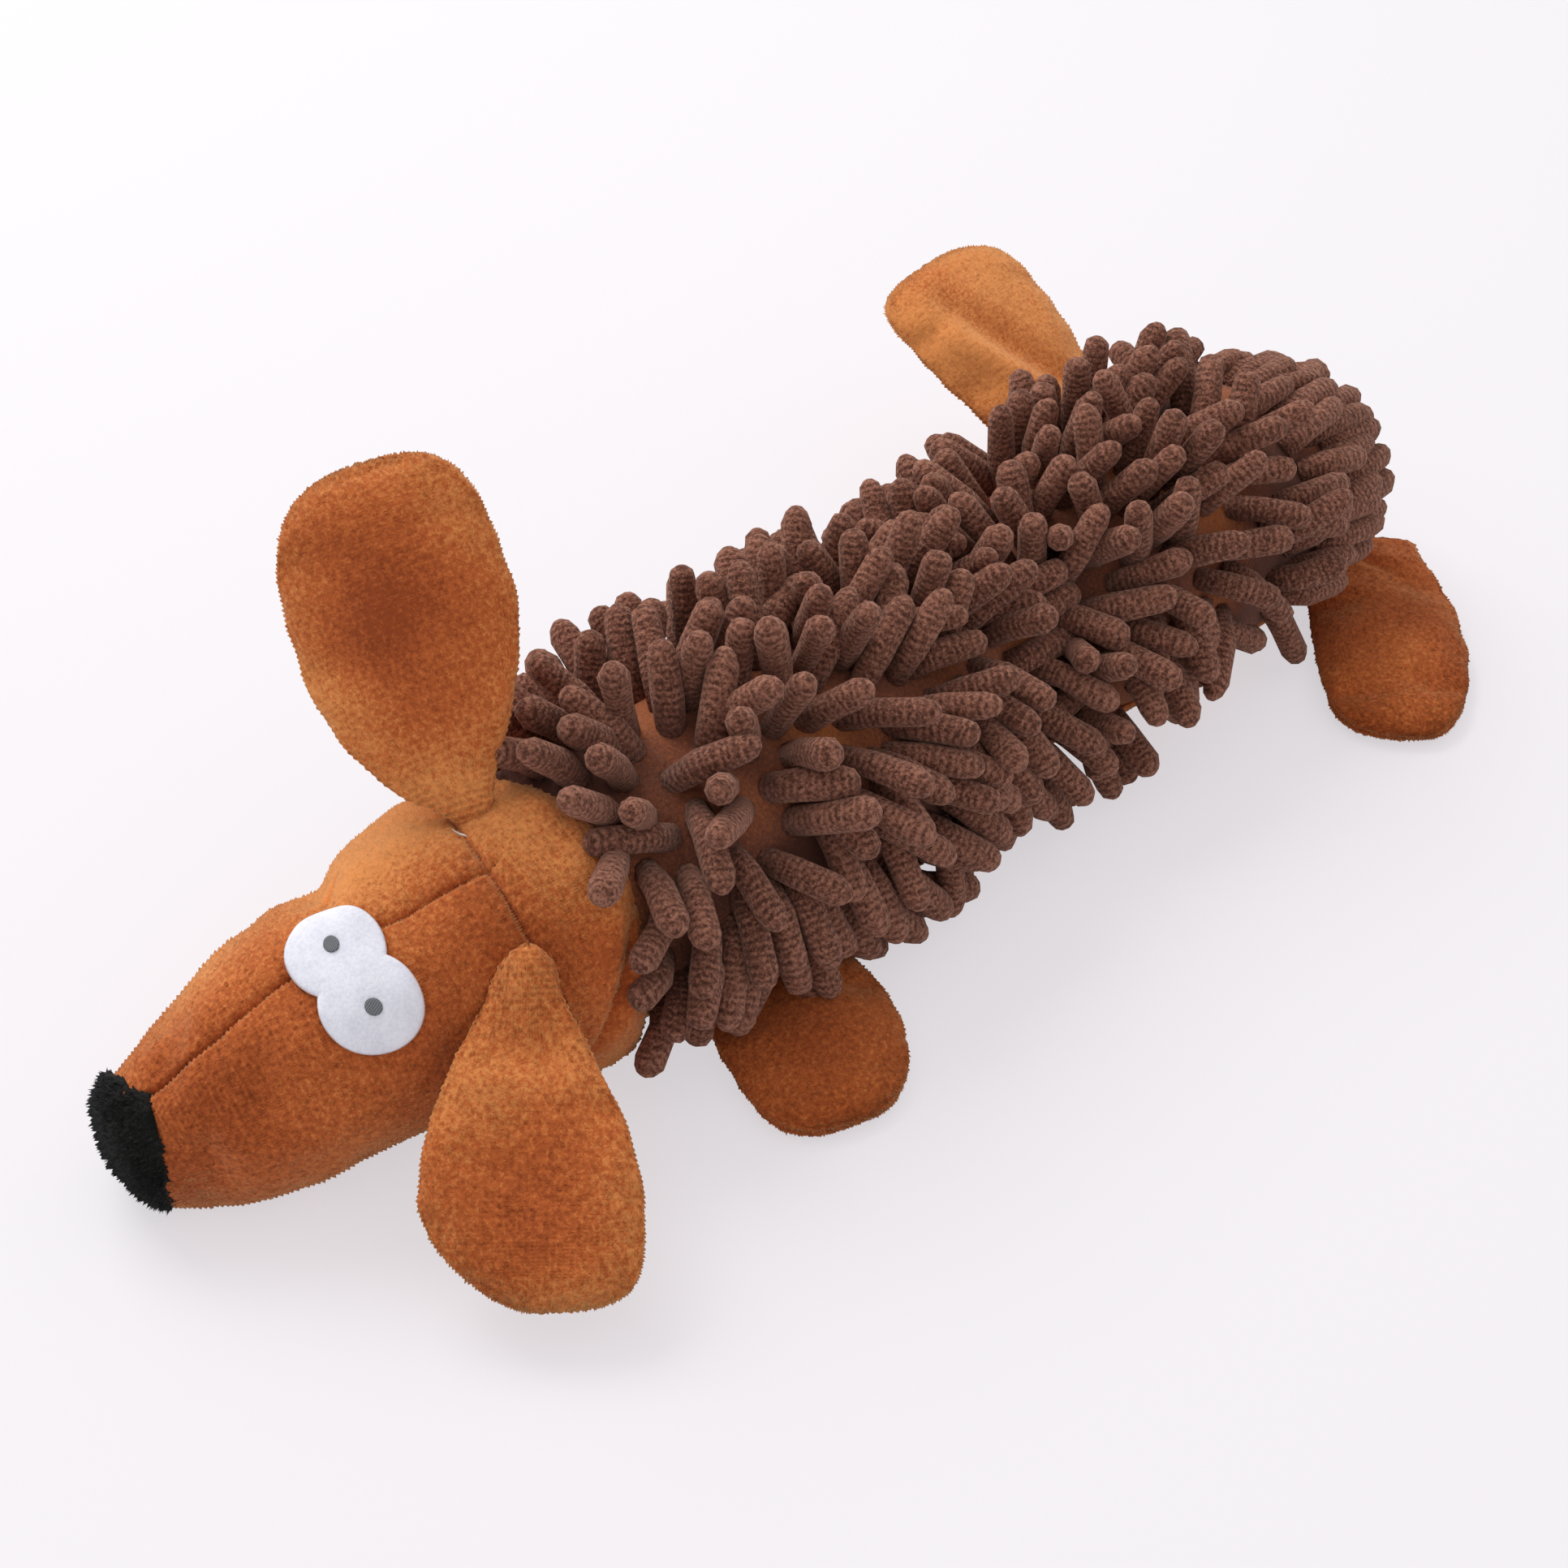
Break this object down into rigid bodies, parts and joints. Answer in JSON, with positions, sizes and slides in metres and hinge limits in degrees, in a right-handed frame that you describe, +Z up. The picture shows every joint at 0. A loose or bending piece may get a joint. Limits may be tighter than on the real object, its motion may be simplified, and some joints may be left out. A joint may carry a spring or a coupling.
{
  "type": "plush dog toy",
  "caption": "Stuffed dachshund toy with a plush head, flap ears, felt eyes, flat feet and a body covered in soft mop noodles, with a squeaker inside.",
  "frame": {"origin": "on the floor, in the middle of the flat underside of the chest", "axes": "+Z up, -Y towards the nose, +Y towards the rump, +X to the left side of the toy"},
  "size_m": [0.1652, 0.3541, 0.1173],
  "materials": {
    "plush": "short tan pile",
    "nose_plush": "short black pile",
    "felt": "white felt",
    "pupil_thread": "grey satin stitch",
    "mop_pile": "dark brown chenille",
    "stuffing": "white fibre filling",
    "squeaker_plastic": "soft milky plastic",
    "reed_film": "thin clear film"
  },
  "bodies": {
    "chest": {"chest_stuffing": "stuffing", "chest_belly_panel": "plush", "chest_mop_left": "mop_pile", "chest_mop_right": "mop_pile", "squeaker_base": "squeaker_plastic", "squeaker_wall": "squeaker_plastic", "squeaker_valve": "squeaker_plastic", "squeaker_reed": "reed_film"},
    "neck": {"neck_stuffing": "stuffing"},
    "head": {"head_stuffing": "stuffing", "nose_patch": "nose_plush", "muzzle_panel_left": "plush", "muzzle_panel_right": "plush", "crown_panel_left": "plush", "crown_panel_right": "plush", "chin_gusset": "plush", "eye_patch": "felt", "pupil_left": "pupil_thread", "pupil_right": "pupil_thread"},
    "ear_left": {"ear_left_front": "plush", "ear_left_back": "plush"},
    "ear_right": {"ear_right_front": "plush", "ear_right_back": "plush"},
    "waist": {"waist_stuffing": "stuffing"},
    "hips": {"hips_stuffing": "stuffing", "hips_belly_panel": "plush", "hips_mop_left": "mop_pile", "hips_mop_right": "mop_pile"},
    "foot_front_left": {"foot_front_left_top": "plush", "foot_front_left_bottom": "plush"},
    "foot_front_right": {"foot_front_right_top": "plush", "foot_front_right_bottom": "plush"},
    "foot_rear_left": {"foot_rear_left_top": "plush", "foot_rear_left_bottom": "plush"},
    "foot_rear_right": {"foot_rear_right_top": "plush", "foot_rear_right_bottom": "plush"},
    "squeaker_press": {"squeaker_cap": "squeaker_plastic"}
  },
  "joints": [
    {"name": "neck_turn", "type": "hinge", "parent": "chest", "child": "neck", "pos_m": [-0.0075, -0.051, 0.0315], "axis": [0, 0, 1], "range_deg": [-25, 25], "stiffness_Nm_per_rad": 0.3},
    {"name": "neck_nod", "type": "hinge", "parent": "neck", "child": "head", "pos_m": [-0.0075, -0.051, 0.0315], "axis": [0.9646, -0.2639, 0], "range_deg": [-15, 15], "stiffness_Nm_per_rad": 0.3},
    {"name": "waist_turn", "type": "hinge", "parent": "chest", "child": "waist", "pos_m": [0, 0.061, 0.0275], "axis": [0, 0, 1], "range_deg": [-20, 20], "stiffness_Nm_per_rad": 0.4},
    {"name": "waist_arch", "type": "hinge", "parent": "waist", "child": "hips", "pos_m": [0, 0.061, 0.0275], "axis": [1, 0, 0], "range_deg": [-15, 15], "stiffness_Nm_per_rad": 0.4},
    {"name": "ear_left_flop", "type": "hinge", "parent": "head", "child": "ear_left", "pos_m": [0.01202, -0.08352, 0.05003], "axis": [0.7202, 0.6937, 0.0128], "range_deg": [-100, 0], "stiffness_Nm_per_rad": 0.03},
    {"name": "ear_right_flop", "type": "hinge", "parent": "head", "child": "ear_right", "pos_m": [-0.01663, -0.07256, 0.06339], "axis": [0.5738, 0.7777, 0.2567], "range_deg": [-20, 70], "stiffness_Nm_per_rad": 0.03},
    {"name": "foot_front_left_flop", "type": "hinge", "parent": "chest", "child": "foot_front_left", "pos_m": [0.01772, -0.03138, 0.00315], "axis": [-0.3256, -0.9455, 0], "range_deg": [-40, 10], "stiffness_Nm_per_rad": 0.05},
    {"name": "foot_front_right_flop", "type": "hinge", "parent": "chest", "child": "foot_front_right", "pos_m": [-0.03463, -0.01957, 0.01015], "axis": [0.3584, 0.9336, 0], "range_deg": [-20, 10], "stiffness_Nm_per_rad": 0.05},
    {"name": "foot_rear_left_flop", "type": "hinge", "parent": "hips", "child": "foot_rear_left", "pos_m": [0.02455, 0.17741, 0.00475], "axis": [-0.682, -0.7314, 0], "range_deg": [-40, 10], "stiffness_Nm_per_rad": 0.05},
    {"name": "foot_rear_right_flop", "type": "hinge", "parent": "hips", "child": "foot_rear_right", "pos_m": [-0.02484, 0.14567, 0.01415], "axis": [-0.0523, 0.9986, 0], "range_deg": [-14, 10], "stiffness_Nm_per_rad": 0.05},
    {"name": "squeaker_press", "type": "slide", "parent": "chest", "child": "squeaker_press", "axis": [0, 0, 1], "range_m": [-0.01, 0], "stiffness_N_per_m": 400, "deforming": ["squeaker_wall"]}
  ]
}
